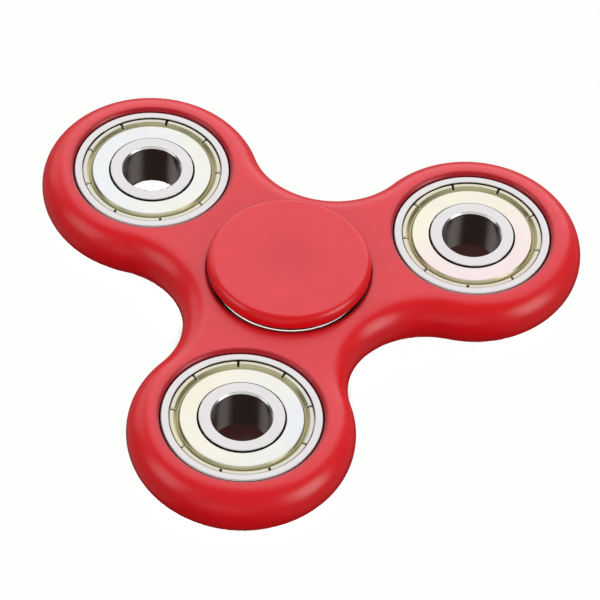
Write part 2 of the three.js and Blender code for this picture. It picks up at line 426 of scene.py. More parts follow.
def carried(tree, name, output="Fac"):
    """A layer that the points of a piece carry."""
    return put(tree, "ShaderNodeAttribute", attribute_name=name).outputs[output]


def product(tree, first, second):
    """The product of two values."""
    return put(tree, "ShaderNodeMath", {0: first, 1: second}, operation="MULTIPLY").outputs[0]


def spread(tree, value, low, high):
    """Stretches a value from between 0 and 1 to between low and high."""
    return put(tree, "ShaderNodeMapRange", {"Value": value, "To Min": low, "To Max": high}).outputs[0]


def between(tree, value, start, end):
    """Rises from 0 to 1 while a value goes from start to end."""
    return put(tree, "ShaderNodeMapRange", {"Value": value, "From Min": start, "From Max": end}).outputs[0]


def mixed_colour(tree, factor, first, second):
    """A colour between two others, each of them a socket or red, green and blue."""
    sides = [side if isinstance(side, bpy.types.NodeSocket) else (*side, 1.0) for side in (first, second)]
    inputs = {"Factor": factor, MIX_COLOUR_A: sides[0], MIX_COLOUR_B: sides[1]}
    return put(tree, "ShaderNodeMix", inputs, data_type="RGBA").outputs[MIX_COLOUR_RESULT]


def fine_grain():
    """Shared effect: the fine, even grain that a mould or a polish leaves."""
    name = "Fine Grain"
    if name in bpy.data.node_groups:
        return bpy.data.node_groups[name]
    group, start, end = new_group(
        name,
        [
            ("Vector", "NodeSocketVector", None),
            ("Fineness", "NodeSocketFloat", 4000.0),
            ("Waviness", "NodeSocketFloat", 600.0),
            ("Wave Share", "NodeSocketFloat", 0.5),
        ],
        [("Height", "NodeSocketFloat"), ("Mask", "NodeSocketFloat")],
    )
    vector = start.outputs["Vector"]
    grain = put(
        group,
        "ShaderNodeTexNoise",
        {"Vector": vector, "Scale": start.outputs["Fineness"], "Detail": 2.0, "Roughness": 0.6},
    )
    wave = put(
        group,
        "ShaderNodeTexNoise",
        {"Vector": vector, "Scale": start.outputs["Waviness"], "Detail": 1.0, "Roughness": 0.4},
    )
    height = put(
        group,
        "ShaderNodeMix",
        {"Factor": start.outputs["Wave Share"], "A": grain.outputs[0], "B": wave.outputs[0]},
    )
    group.links.new(height.outputs[0], end.inputs["Height"])
    group.links.new(wave.outputs[0], end.inputs["Mask"])
    return group


def turning_lines():
    """Shared effect: fine lines round a turned or ground piece, read from its own along attribute."""
    name = "Turning Lines"
    if name in bpy.data.node_groups:
        return bpy.data.node_groups[name]
    group, start, end = new_group(
        name,
        [
            ("Along", "NodeSocketVector", None),
            ("Fineness", "NodeSocketFloat", 8.0),
            ("Breakup", "NodeSocketFloat", 0.6),
        ],
        [("Lines", "NodeSocketFloat")],
    )
    parts = put(group, "ShaderNodeSeparateXYZ", {"Vector": start.outputs["Along"]}).outputs
    scaled = {
        "X": product(group, parts["X"], start.outputs["Breakup"]),
        "Y": product(group, parts["Y"], start.outputs["Breakup"]),
        "Z": product(group, parts["Z"], start.outputs["Fineness"]),
    }
    place = put(group, "ShaderNodeCombineXYZ", scaled)
    streaks = {"Vector": place.outputs[0], "Scale": 1.0, "Detail": 4.0, "Roughness": 0.7}
    lines = put(group, "ShaderNodeTexNoise", streaks)
    group.links.new(lines.outputs[0], end.inputs["Lines"])
    return group


def handling_marks():
    """Shared effect: soft smudges and a few rubbed patches, as a roughness."""
    name = "Handling Marks"
    if name in bpy.data.node_groups:
        return bpy.data.node_groups[name]
    group, start, end = new_group(
        name,
        [
            ("Vector", "NodeSocketVector", None),
            ("Patch Scale", "NodeSocketFloat", 120.0),
            ("Smooth Roughness", "NodeSocketFloat", 0.2),
            ("Rubbed Roughness", "NodeSocketFloat", 0.3),
        ],
        [("Roughness", "NodeSocketFloat")],
    )
    patches = put(
        group,
        "ShaderNodeTexNoise",
        {
            "Vector": start.outputs["Vector"],
            "Scale": start.outputs["Patch Scale"],
            "Detail": 5.0,
            "Roughness": 0.55,
            "Distortion": 0.6,
        },
    )
    mask = put(
        group,
        "ShaderNodeMapRange",
        {"Value": patches.outputs[0], "From Min": 0.35, "From Max": 0.7},
        interpolation_type="SMOOTHSTEP",
    )
    rough = put(
        group,
        "ShaderNodeMix",
        {
            "Factor": mask.outputs[0],
            "A": start.outputs["Smooth Roughness"],
            "B": start.outputs["Rubbed Roughness"],
        },
    )
    group.links.new(rough.outputs[0], end.inputs["Roughness"])
    return group


# ---- Finishes ----


def new_finish(name, slot, **constants):
    """A material with one Principled shader, its even values set on the shader's own sockets."""
    material = bpy.data.materials.new(name)
    material["slot"] = slot
    material.use_nodes = True
    tree = material.node_tree
    shader = tree.nodes["Principled BSDF"]
    for socket, value in constants.items():
        shader.inputs[socket.replace("_", " ")].default_value = value
    return material, tree, shader


def effect(tree, group, inputs):
    """Places a shared effect in a material with this material's own values."""
    node = tree.nodes.new("ShaderNodeGroup")
    node.node_tree = group
    return feed(tree, node, inputs)


def rub(tree, shader, patch_scale, smooth, rubbed):
    """Lets handling marks carry the roughness of a finish from smooth to rubbed.

    No finish crosses 0.27: the denoiser treats smoother and rougher surfaces in two ways, and a finish
    that crosses over shows a crease there.
    """
    inputs = {
        "Vector": object_place(tree),
        "Patch Scale": patch_scale,
        "Smooth Roughness": smooth,
        "Rubbed Roughness": rubbed,
    }
    marks = effect(tree, handling_marks(), inputs)
    tree.links.new(marks.outputs["Roughness"], shader.inputs["Roughness"])


def bump(tree, shader, height, distance, strength=1.0):
    """Raises the surface by a height."""
    node = put(tree, "ShaderNodeBump", {"Height": height, "Distance": distance, "Strength": strength})
    tree.links.new(node.outputs["Normal"], shader.inputs["Normal"])


def lines_round(tree, fineness, breakup):
    """The turning lines of a piece, which run along its own along layer."""
    inputs = {"Along": carried(tree, "along", "Vector"), "Fineness": fineness, "Breakup": breakup}
    return effect(tree, turning_lines(), inputs).outputs["Lines"]


def red_plastic(colours):
    """Glossy moulded plastic: a faint flow of tone, a fine mould grain and soft handling marks.

    Painted shade darkens the caps' shallow dips and the plastic where a seat opens.
    """
    material, tree, shader = new_finish("red_plastic_finish", "red_plastic", IOR=1.48)
    grain = effect(
        tree,
        fine_grain(),
        {"Vector": object_place(tree), "Fineness": 5200.0, "Waviness": 420.0, "Wave Share": 0.35},
    )
    flow = mixed_colour(tree, grain.outputs["Mask"], tuple(colours.plastic), tuple(colours.plastic_shade))
    # Painted shade: darker in the caps' dips and where a seat opens.
    dip_shade_colour = tuple(0.95 * part for part in colours.plastic_shade)
    dip_shaded = mixed_colour(tree, carried(tree, "sink"), flow, dip_shade_colour)
    tone = mixed_colour(tree, carried(tree, "crevice"), dip_shaded, tuple(colours.plastic_crevice))
    tree.links.new(tone, shader.inputs["Base Color"])
    rub(tree, shader, patch_scale=90.0, smooth=0.28, rubbed=0.335)
    bump(tree, shader, grain.outputs["Height"], 0.012 * MM, strength=0.6)
    return material


def turned_metal(slot, tone, fineness, depth, smooth, rubbed):
    """Bare turned or ground steel: lines round the piece, and a roughness that handling marks vary."""
    material, tree, shader = new_finish(f"{slot}_finish", slot, Metallic=1.0)
    lines = lines_round(tree, fineness, breakup=0.8)
    darker = tuple(0.86 * part for part in tone)
    tree.links.new(mixed_colour(tree, lines, tone, darker), shader.inputs["Base Color"])
    rub(tree, shader, 260.0, smooth, rubbed)
    bump(tree, shader, lines, depth)
    return material


def ring_steel(colours):
    """Ground bearing steel."""
    return turned_metal(
        "ring_steel", tuple(colours.ring), fineness=9.0, depth=0.0012 * MM, smooth=0.2, rubbed=0.265
    )


def cage_steel(colours):
    """Rolled steel strip."""
    return turned_metal(
        "cage_steel", tuple(colours.cage), fineness=5.0, depth=0.002 * MM, smooth=0.34, rubbed=0.45
    )


def ball_steel(colours):
    """Polished ball steel, with only the finest grain."""
    material, tree, shader = new_finish("ball_steel_finish", "ball_steel", Metallic=1.0)
    grain = effect(
        tree,
        fine_grain(),
        {"Vector": object_place(tree), "Fineness": 9000.0, "Waviness": 900.0, "Wave Share": 0.2},
    )
    tone = tuple(colours.ball)
    darker = tuple(0.92 * part for part in tone)
    shade = mixed_colour(tree, grain.outputs["Mask"], tone, darker)
    tree.links.new(shade, shader.inputs["Base Color"])
    rub(tree, shader, patch_scale=700.0, smooth=0.05, rubbed=0.1)
    bump(tree, shader, grain.outputs["Height"], 0.0005 * MM)
    return material


# How thick the film of plating is, and the shares of red, green and blue that it lets through there.
FILM_TINTS = (
    (0.32, (0.95, 1.02, 1.08)),
    (0.44, (1.00, 1.04, 0.96)),
    (0.54, (1.06, 1.04, 0.87)),
    (0.66, (1.05, 0.93, 0.92)),
)


def film_colours(tree, plating):
    """The plating's colour, tinted by its film: the piece's own thickness with a soft flow over it."""
    flow = put(
        tree,
        "ShaderNodeTexNoise",
        {"Vector": object_place(tree), "Scale": 120.0, "Detail": 1.0, "Roughness": 0.4, "Distortion": 0.4},
    )
    inputs = {0: spread(tree, flow.outputs[0], -0.12, 0.12), 1: carried(tree, "film")}
    thickness = put(tree, "ShaderNodeMath", inputs, operation="ADD")
    tints = put(tree, "ShaderNodeValToRGB", {"Fac": thickness.outputs[0]})
    ramp = tints.color_ramp
    while len(ramp.elements) < len(FILM_TINTS):
        ramp.elements.new(0.5)
    for element, (position, tint) in zip(ramp.elements, FILM_TINTS):
        element.position = position
        element.color = (*(part * share for part, share in zip(plating, tint)), 1.0)
    return tints.outputs["Color"]


def shield_plating(colours):
    """Zinc plating with a yellow pass: pale and faintly iridescent on the disc, yellower at the rim, where
    painted shade darkens the slope inside the bead; the cuts are painted dark as shade.
    """
    material, tree, shader = new_finish("shield_plating_finish", "shield_steel", Metallic=1.0)
    yellow = tuple(colours.plating_rim_and_shade)
    lines = lines_round(tree, fineness=5.0, breakup=1.4)
    # The rim colour is the yellow pass, with painted shade on the slope.
    plated = mixed_colour(tree, carried(tree, "rim"), film_colours(tree, tuple(colours.plating)), yellow)
    streaked = mixed_colour(tree, spread(tree, lines, 0.0, 0.12), plated, yellow)
    # Painted shade: the cuts' floors are painted near black.
    with_painted_cut_shade = mixed_colour(tree, carried(tree, "cut"), streaked, tuple(colours.cut))
    tree.links.new(with_painted_cut_shade, shader.inputs["Base Color"])
    rub(tree, shader, patch_scale=180.0, smooth=0.28, rubbed=0.35)
    bump(tree, shader, lines, 0.0015 * MM)
    return material


FINISHES = {
    "red_plastic": red_plastic,
    "ring_steel": ring_steel,
    "ball_steel": ball_steel,
    "cage_steel": cage_steel,
    "shield_plating": shield_plating,
}


def finish(name):
    """A finish by its name, made the first time it is asked for."""
    made = bpy.data.materials.get(f"{name}_finish")
    return made or FINISHES[name](bpy.context.scene.spinner_colours)


# ---- Body ----


def outline_runs(sizes):
    """The body's outline as two runs: round the lobe that faces +X, and along the hollow after it.

    A lobe arc of the lobe radius meets the waist arcs where the line between their centres crosses both.
    A waist's centre stands at 60 degrees to the lobe, at a distance of half of (c + sqrt(4 s^2 - 3 c^2)),
    with c the lobe's centre distance and s the sum of both radii. The dividing line between lobe and hub
    runs through the waist's centre, square to the lobe, so that the outline crosses it at a right angle.
    Each run is (outline points, normals pointing out), and the waist's centre comes after them.
    """
    c = LOBE_CENTRE_RADIUS
    s = sizes.lobe_radius + sizes.waist_radius
    waist_distance = (c + math.sqrt(4 * s**2 - 3 * c**2)) / 2
    waist = waist_distance * np.array([0.5, math.sqrt(0.75)])
    to_waist = waist - np.array([c, 0.0])
    meet = math.atan2(to_waist[1], to_waist[0])
    lobe_normal = arc((0, 0), 1.0, -meet, meet, steps=132)
    lobe = (np.array([c, 0.0]) + sizes.lobe_radius * lobe_normal, lobe_normal)
    quarter = arc((0, 0), 1.0, meet + math.pi, 1.5 * math.pi, steps=20)
    upper = (waist + sizes.waist_radius * quarter, -quarter)
    middle_arc = arc((0, 0), 1.0, 1.5 * math.pi, TURN * 7 / 12, steps=36)
    hollow = (waist + sizes.waist_radius * middle_arc, -middle_arc)
    flip = np.array([1.0, -1.0])
    lower = (upper[0][::-1] * flip, upper[1][::-1] * flip)
    around_lobe = tuple(np.concatenate([lower[k], lobe[k][1:-1], upper[k]]) for k in (0, 1))
    return around_lobe, hollow, waist


def spun(points, turn):
    """Plane points turned about the origin."""
    rotation = np.array([[math.cos(turn), math.sin(turn)], [-math.sin(turn), math.cos(turn)]])
    return points @ rotation


def all_round(first, second):
    """Two runs that follow each other, repeated at each lobe's turn and joined without shared points."""
    return np.concatenate([spun(run, turn)[:-1] for turn in LOBE_TURNS for run in (first, second)])


def edge_distance(points, sizes, waist):
    """How far plane points lie inside the outline.

    Beyond the line between a lobe's centre and a waist's centre it is the lobe radius less the distance
    to the lobe's centre, and elsewhere the distance to the nearest waist's centre less the waist radius.
    """
    inside = np.full(points.shape[:-1], np.inf)
    for turn in LOBE_TURNS:
        local = spun(points, -turn)
        mirrored = np.stack([local[..., 0], np.abs(local[..., 1])], axis=-1)
        from_lobe = mirrored - np.array([LOBE_CENTRE_RADIUS, 0.0])
        to_waist = waist - np.array([LOBE_CENTRE_RADIUS, 0.0])
        beyond = to_waist[0] * from_lobe[..., 1] - to_waist[1] * from_lobe[..., 0] < 0
        to_lobe_edge = sizes.lobe_radius - np.linalg.norm(from_lobe, axis=-1)
        to_waist_edge = np.linalg.norm(mirrored - waist, axis=-1) - sizes.waist_radius
        inside = np.minimum(inside, np.where(beyond, np.maximum(to_lobe_edge, 0), to_waist_edge))
    return inside


def rounding_drop(distance, radius):
    """How far a rounding lies below its flat: radius - sqrt(radius^2 - (radius - distance)^2)."""
    short = np.clip(radius - distance, 0, radius)
    return radius - np.sqrt(radius**2 - short**2)


def body_surface(sizes):
    """The whole body as one closed surface, with how much painted shade each point takes at a seat's mouth,
    from 0 to 1.

    The round edge is a half-round profile carried along the outline, in to 0.8 of its radius. From there
    each flat face is four cells, three lobes and the hub, ruled from a seat's circle to the cell's edge,
    with its height lowered by the two roundings that reach into it. Each seat is an upright wall between
    the two faces.
    """
    face = sizes.thickness / 2
    land = face - sizes.edge_radius
    band_depth = 0.8 * sizes.edge_radius
    around_lobe, hollow, waist = outline_runs(sizes)

    points, faces, crevices = [], [], []
    count = 0

    def keep(grid, crevice=0.0, rows_meet=False, columns_meet=False):
        """Adds one grid of points to the surface."""
        nonlocal count
        rows, columns = grid.shape[:2]
        crevices.append((crevice + np.zeros((rows, columns))).ravel())
        faces.append(grid_faces(rows, columns, rows_meet, columns_meet, count))
        points.append(grid.reshape(-1, 3))
        count += rows * columns

    outline = all_round(around_lobe[0], hollow[0])
    normals = all_round(around_lobe[1], hollow[1])
    widest = math.acos(1 - band_depth / sizes.edge_radius)
    rise = np.linspace(0, widest, 25)
    depth = sizes.edge_radius * (1 - np.cos(rise))
    height = land + sizes.edge_radius * np.sin(rise)
    depth = np.concatenate([depth[::-1], depth])[:, None, None]
    height = np.concatenate([-height[::-1], height])[:, None, None]
    flat = outline - depth * normals
    keep(np.concatenate([flat, height + 0 * flat[..., :1]], axis=-1), columns_meet=True)

    dividing = around_lobe[0][-1] - band_depth * around_lobe[1][-1]
    line = np.linspace(dividing, dividing * np.array([1.0, -1.0]), 41)
    lobe_edge = np.concatenate([(around_lobe[0] - band_depth * around_lobe[1])[:-1], line[:-1]])
    hub_edge = all_round(line[::-1], hollow[0] - band_depth * hollow[1])
    cells = [(np.zeros(2), hub_edge)]
    for turn in LOBE_TURNS:
        cells.append((spun(np.array([LOBE_CENTRE_RADIUS, 0.0]), turn), spun(lobe_edge, turn)))

    mouth = sizes.mouth_radius
    mouth_run = mouth * (1 - np.cos(np.linspace(0, math.pi / 2, 11)))
    for centre, edge in cells:
        out = edge - centre
        reach = np.linalg.norm(out, axis=1)
        direction = out / reach[:, None]
        start = sizes.seat_radius + mouth
        past_mouth = np.linspace(0, 1, 15)[1:, None] * (reach - start)
        run = np.concatenate([mouth_run[:, None] + 0 * reach, mouth + past_mouth])
        plane = centre + (sizes.seat_radius + run)[..., None] * direction
        drop = rounding_drop(edge_distance(plane, sizes, waist), sizes.edge_radius)
        drop = drop + rounding_drop(run, mouth)
        # Painted shade at each seat's mouth: full at the wall, fading out across the rounding.
        near = np.interp(run, [0.0, 0.3 * mouth, 1.3 * mouth], [1.0, 0.9, 0.0])
        for side in (1, -1):
            keep(np.concatenate([plane, side * (face - drop)[..., None]], axis=-1), near, columns_meet=True)
        edge_drop = rounding_drop(edge_distance(plane[:1], sizes, waist), sizes.edge_radius)
        wall_top = face - mouth - edge_drop
        share = np.array([-1.0, -0.985, -0.5, 0.0, 0.5, 0.985, 1.0])[:, None]
        seat = np.concatenate([plane[:1] + 0 * share[..., None], (share * wall_top)[..., None]], axis=-1)
        # The seat's wall carries the painted shade in full.
        keep(seat, 1.0, columns_meet=True)
    grid = np.concatenate(points)
    grid[:, 2] += MIDDLE_PLANE
    return grid, np.concatenate(faces), np.concatenate(crevices)


# ---- Bearing sections ----


def mirrored(corners):
    """The corners of an upper half section, mirrored in the middle plane and in reverse."""
    return [(r, -z, rounding) for r, z, rounding in reversed(corners)]


def race(shoulder, pitch, radius, steps=28):
    """Groove points from the lower edge to the upper edge, on a circle about the ball's centre."""
    side = 1 if shoulder > pitch else -1
    reach = math.acos((shoulder - pitch) * side / radius)
    turn = np.linspace(-reach, reach, steps + 1)
    return np.stack([pitch + side * radius * np.cos(turn), radius * np.sin(turn)], axis=-1)


def outer_ring_section(rings, pitch, rounding):
    """Outer ring: rounded outer corners, a step for each shield and the ball groove inside."""
    face = rings.half_width
    step = face - rings.seat_depth
    groove = race(rings.outer_shoulder, pitch, rings.race_radius)
    upper = [
        (rings.outer_radius, face, rounding),
        (rings.seat_radius, face, 0.08 * MM),
        (rings.seat_radius, step, 0.04 * MM),
        (rings.outer_shoulder, step, 0.05 * MM),
    ]
    return rounded(upper + plain(groove[::-1]) + mirrored(upper))


def inner_ring_section(rings, pitch):
    """Inner ring: chamfered bore and the ball groove outside."""
    face = rings.half_width
    groove = race(rings.inner_shoulder, pitch, rings.race_radius)
    upper = [
        (rings.inner_shoulder, face, 0.1 * MM),
        (rings.bore_radius + rings.bore_chamfer, face, 0.1 * MM),
        (rings.bore_radius, face - rings.bore_chamfer, 0.12 * MM),
    ]
    return rounded(plain(groove) + upper + mirrored(upper))


def shield_section(sizes):
    """Shield: a raised flat disc, a slope that rises from its foot, and a bead turned down at the rim."""
    rim = sizes.outer_radius
    disc_underside = sizes.disc - 0.2 * MM
    crest = rim - 0.54 * MM
    foot = rim - 1.14 * MM
    disc_edge = rim - 1.42 * MM
    return rounded(
        [
            (sizes.inner_radius, sizes.disc, 0.06 * MM),
            (sizes.inner_radius, disc_underside, 0.04 * MM),
            (rim - 1.45 * MM, disc_underside, 0.1 * MM),
            (rim - 1.25 * MM, sizes.underside, 0.08 * MM),
            (rim, sizes.underside, 0.05 * MM),
            (rim, sizes.bead, 0.12 * MM),
            (crest, sizes.bead, 0.2 * MM),
            (foot, sizes.channel, 0.12 * MM),
            (disc_edge, sizes.disc, 0.12 * MM),
        ],
        steps=4,
    )


def dip_share(radius, sizes):
    """The share of a cap's dip at a radius: exp(-(r / R)^4), with R the radius of the dip."""
    return np.exp(-((radius / sizes.sink_radius) ** 4))


def cap_section(sizes, ring_face):
    """Cap: the stub in the bore, the shoulder on the ring, and the disc with its rounded edge and dip."""
    shoulder_face = ring_face + 0.02 * MM
    corners = [
        (0.0, 0.15 * MM, 0.0),
        (sizes.stub_radius, 0.15 * MM, 0.3 * MM),
        (sizes.stub_radius, shoulder_face, 0.1 * MM),
        (sizes.shoulder_radius, shoulder_face, 0.12 * MM),
        (sizes.shoulder_radius, sizes.underside, 0.3 * MM),
        (sizes.radius, sizes.underside, 0.15 * MM),
        (sizes.radius, sizes.top, sizes.edge_radius),
        (0.0, sizes.top, 0.0),
    ]
    outline = rounded(corners, steps=14)
    face = np.linspace(sizes.radius - sizes.edge_radius - 0.1 * MM, 0, 40)
    top = np.stack([face, sizes.top - sizes.sink_depth * dip_share(face, sizes)], axis=-1)
    return np.concatenate([outline[:-1], top])


# ---- Pieces ----


def add_turned(node, ending, section, material, sides, upside=1):
    """One turned piece about its node's axis, right way up or turned over in the middle plane."""
    centre = np.array([*middle(node)[:2], MIDDLE_PLANE])
    points, along = turned(section * np.array([1, upside]), centre, even_angles(sides))
    faces = grid_faces(len(section), sides, rows_meet=True, columns_meet=True)
    return add_piece(node, ending, points, faces, material, along=along)


class SPINNER_OT_stage(bpy.types.Operator):
    """Make the floor, the lights and the camera"""

    bl_idname = "spinner.stage"
    bl_label = "Stage"

    def execute(self, context):
        """Camera first, then the floor and the lights."""
        settings = context.scene.spinner_stage
        add_camera(context, settings)
        add_floor(context, settings)
        add_floor_suns(context)
        add_softboxes(context, settings)
        add_bore_beam(context, settings)
        set_surroundings(context, settings)
        context.scene.view_settings.view_transform = "Standard"
        return {"FINISHED"}


def toward(azimuth, elevation):
    """The direction of an azimuth (0 is the front, 90 is +X) and an elevation, both in degrees."""
    a, e = math.radians(azimuth), math.radians(elevation)
    return Vector((math.sin(a) * math.cos(e), -math.cos(a) * math.cos(e), math.sin(e)))


def toward_camera(settings):
    """The direction in which the camera stands."""
    return toward(math.degrees(settings.azimuth), math.degrees(settings.elevation))


def add_camera(context, settings):
    """The camera looks back along the direction that its azimuth and elevation give, turned by its roll."""
    roll = settings.roll
    back = toward_camera(settings)
    across = Vector((math.cos(settings.azimuth), math.sin(settings.azimuth), 0.0))
    up = back.cross(across)
    right = across * math.cos(roll) + up * math.sin(roll)
    top = up * math.cos(roll) - across * math.sin(roll)
    data = bpy.data.cameras.new("studio_camera")
    data.sensor_width = 36.0
    data.lens = settings.lens
    data.clip_start = 0.01
    data.clip_end = 100.0
    camera = bpy.data.objects.new("studio_camera", data)
    turn = Matrix((right, top, back)).transposed().to_4x4()
    camera.matrix_world = Matrix.Translation(settings.camera_place) @ turn
    context.scene.collection.objects.link(camera)
    context.scene.camera = camera


def add_floor(context, settings):
    """A floor that hides itself: it glows white in the open, and glows dark red where the spinner covers
    it, as a painted shadow with painted red bounce light.

    Where it is covered it answers to light as well, so that the floor's own suns bring back its white
    round the outline but not under the bores. From below it can't be seen.
    """
    half = settings.floor_size / 2
    lines = 9
    corners = np.linspace(-half, half, lines)
    x, y = np.meshgrid(corners, corners, indexing="ij")
    points = np.stack([x, y, 0 * x - 0.02 * MM], axis=-1)
    mesh = bpy.data.meshes.new("floor")
    mesh.from_pydata(points.reshape(-1, 3), [], grid_faces(lines, lines)[:, ::-1])
    mesh.materials.append(pale_floor())
    floor = bpy.data.objects.new("floor", mesh)
    floor.visible_glossy = False
    floor.visible_diffuse = False
    context.scene.collection.objects.link(floor)
    reached("floor_only").objects.link(floor)


def pale_floor():
    """The floor's finish, which tells open floor from covered floor by how much of the sky it sees."""
    material = bpy.data.materials.new("pale_floor")
    material.use_nodes = True
    tree = material.node_tree
    shader = tree.nodes["Principled BSDF"]
    shader.inputs["Roughness"].default_value = 0.9
    shader.inputs["Specular IOR Level"].default_value = 0.0
    shader.inputs["Emission Strength"].default_value = 1.0
    sky = put(tree, "ShaderNodeAmbientOcclusion", {"Distance": 14 * MM}, samples=16)
    openness = between(tree, sky.outputs["AO"], 0.25, 0.45)
    # Painted shadow: the glow falls to dark red where the floor is covered, for the shade and red bounce
    # under the spinner.
    glow_and_painted_shadow = mixed_colour(tree, openness, (0.03, 0.006, 0.005), (0.985, 1.0, 0.975))
    answer = mixed_colour(tree, openness, (0.08, 0.08, 0.08), (0.0, 0.0, 0.0))
    tree.links.new(glow_and_painted_shadow, shader.inputs["Emission Color"])
    tree.links.new(answer, shader.inputs["Base Color"])
    facing = put(tree, "ShaderNodeNewGeometry").outputs["Backfacing"]
    clear = put(tree, "ShaderNodeBsdfTransparent").outputs[0]
    one_sided = put(tree, "ShaderNodeMixShader", {0: facing, 1: shader.outputs[0], 2: clear})
    tree.links.new(one_sided.outputs[0], tree.nodes["Material Output"].inputs["Surface"])
    return material


def add_light(context, name, kind, direction, distance=0.0):
    """A light that shines on the origin from a direction."""
    light = bpy.data.objects.new(name, bpy.data.lights.new(name, kind))
    light.rotation_mode = "QUATERNION"
    light.rotation_quaternion = direction.to_track_quat("Z", "Y")
    light.location = direction * distance
    context.scene.collection.objects.link(light)
    return light


# The floor's suns: azimuth and elevation in degrees, and irradiance.
FLOOR_SUNS = {
    "front": (10.8, 38, 62),
    "back": (190.8, 46, 54),
    "left": (-75, 40, 38),
    "right": (97, 40, 38),
}


def add_floor_suns(context):
    """Four suns that reach nothing but the floor, low enough that none shines down through a bore."""
    for name, (azimuth, elevation, energy) in FLOOR_SUNS.items():
        sun = add_light(context, f"{name}_floor_sun", "SUN", toward(azimuth, elevation))
        sun.data.energy = energy
        sun.data.angle = math.radians(2.0)
        sun.light_linking.receiver_collection = reached("floor_only")


# The softboxes: azimuth and elevation in degrees, then distance, width and height in metres.
SOFTBOXES = {
    "top_softbox": (180, 43, 1.0, 1.4, 1.66),
    "left_softbox": (-60, 32, 0.8, 0.42, 0.5),
    "left_backdrop": (-126, 20, 1.0, 0.75, 0.6),
    "right_softbox": (76, 22, 0.8, 0.42, 0.5),
    "front_fill": (0, 15, 1.0, 1.0, 0.6),
    "rim_softbox": (8, 40, 0.8, 2.6, 0.9),
    "bearing_softbox": (10.8, 40, 1.0, 1.6, 1.3),
}


def add_softboxes(context, settings):
    """Every softbox faces the spinner and shines with the radiance that the settings give it."""
    boxes = {}
    for name, (azimuth, elevation, distance, width, height) in SOFTBOXES.items():
        box = add_light(context, name, "AREA", toward(azimuth, elevation), distance)
        box.data.shape = "RECTANGLE"
        box.data.size = width
        box.data.size_y = height
        box.data.energy = getattr(settings, name) * math.pi * width * height
        boxes[name] = box
    boxes["top_softbox"].data.color = (1.0, 0.965, 1.06)
    boxes["front_fill"].visible_glossy = False
    boxes["rim_softbox"].data.color = (1.0, 0.70, 0.72)
    boxes["rim_softbox"].light_linking.receiver_collection = reached("centre_ring_only")
    boxes["bearing_softbox"].light_linking.receiver_collection = reached("bearings_only")


def add_bore_beam(context, settings):
    """A narrow beam down through the left bore to the floor, along the camera's direction."""
    away = toward_camera(settings)
    beam = add_light(context, "left_bore_beam", "SPOT", away, 0.45)
    x, y = middle("left_inner_ring")[:2]
    beam.location += Vector((x, y, MIDDLE_PLANE))
    beam.data.spot_size = math.radians(1.0)
    beam.data.spot_blend = 0.1
    beam.data.energy = settings.bore_beam
    beam.data.shadow_soft_size = 0.001
    beam.light_linking.receiver_collection = reached("floor_only")


def set_surroundings(context, settings):
    """White to the eye, dim in reflections, and a soft fill on everything else.

    Reflections see a grey room above the horizon, brighter and reaching lower behind the spinner, and
    near darkness below it, with a paler patch low on each side. The fill is weaker from below.
    """
    world = bpy.data.worlds.new("studio")
    world.use_nodes = True
    world.cycles.sampling_method = "NONE"
    tree = world.node_tree
    tree.nodes.clear()
    path = put(tree, "ShaderNodeLightPath")
    from_above = (settings.fill, settings.fill, settings.fill)
    from_below = tuple(0.4 * part for part in from_above)
    direction = put(tree, "ShaderNodeTexCoord").outputs["Generated"]
    parts = put(tree, "ShaderNodeSeparateXYZ", {"Vector": direction}).outputs
    aside = put(tree, "ShaderNodeMath", {0: parts["X"]}, operation="ABSOLUTE").outputs[0]
    low = mixed_colour(tree, between(tree, aside, 0.5, 0.66), (0.045, 0.026, 0.024), (0.30, 0.27, 0.27))
    behind = put(tree, "ShaderNodeMath", {0: parts["Y"], 1: 0.0}, operation="MAXIMUM").outputs[0]
    raised = put(tree, "ShaderNodeMath", {0: behind, 1: 0.6, 2: parts["Z"]}, operation="MULTIPLY_ADD")
    wall = mixed_colour(tree, behind, (0.21, 0.21, 0.21), (0.34, 0.32, 0.34))
    room = mixed_colour(tree, between(tree, raised.outputs[0], -0.15, 0.2), low, wall)
    fill = mixed_colour(tree, between(tree, parts["Z"], -0.2, 0.0), from_below, from_above)
    dim = mixed_colour(tree, path.outputs["Is Glossy Ray"], fill, room)
    seen = mixed_colour(tree, path.outputs["Is Camera Ray"], dim, (0.98, 1.0, 0.975))
    background = put(tree, "ShaderNodeBackground", {"Color": seen})
    output = put(tree, "ShaderNodeOutputWorld")
    tree.links.new(background.outputs[0], output.inputs["Surface"])
    context.scene.world = world


class SPINNER_OT_body(bpy.types.Operator):
    """Make the three-lobed moulded body"""

    bl_idname = "spinner.body"
    bl_label = "Body"

    def execute(self, context):
        """One closed surface in place of the plain body."""
        points, faces, crevice = body_surface(context.scene.spinner_body)
        add_piece("spinner_body", "moulded", points, faces, finish("red_plastic"), crevice=crevice)
        return {"FINISHED"}


class SPINNER_OT_caps(bpy.types.Operator):
    """Make the two finger caps"""

    bl_idname = "spinner.caps"
    bl_label = "Finger Caps"

    def execute(self, context):
        """A turned section that is open at the axis, where its ends close to a point."""
        caps = context.scene.spinner_caps
        section = cap_section(caps, context.scene.spinner_rings.half_width)
        centre = np.array([0.0, 0.0, MIDDLE_PLANE])
        angles = even_angles(240)
        faces = grid_faces(len(section), len(angles), columns_meet=True)
        # Painted shade: the top face is darkened in the dip, by how deep the dip is there.
        on_top = section[:, 1:] > caps.top - 0.1 * MM
        sink = on_top * dip_share(section[:, :1], caps) + 0 * angles
        for level, upside in SIDES_OF_PLANE.items():
            points, _ = turned(section * np.array([1, upside]), centre, angles)
            add_piece(f"cap_{level}", "moulded", points, faces, finish("red_plastic"), sink=sink)
        return {"FINISHED"}


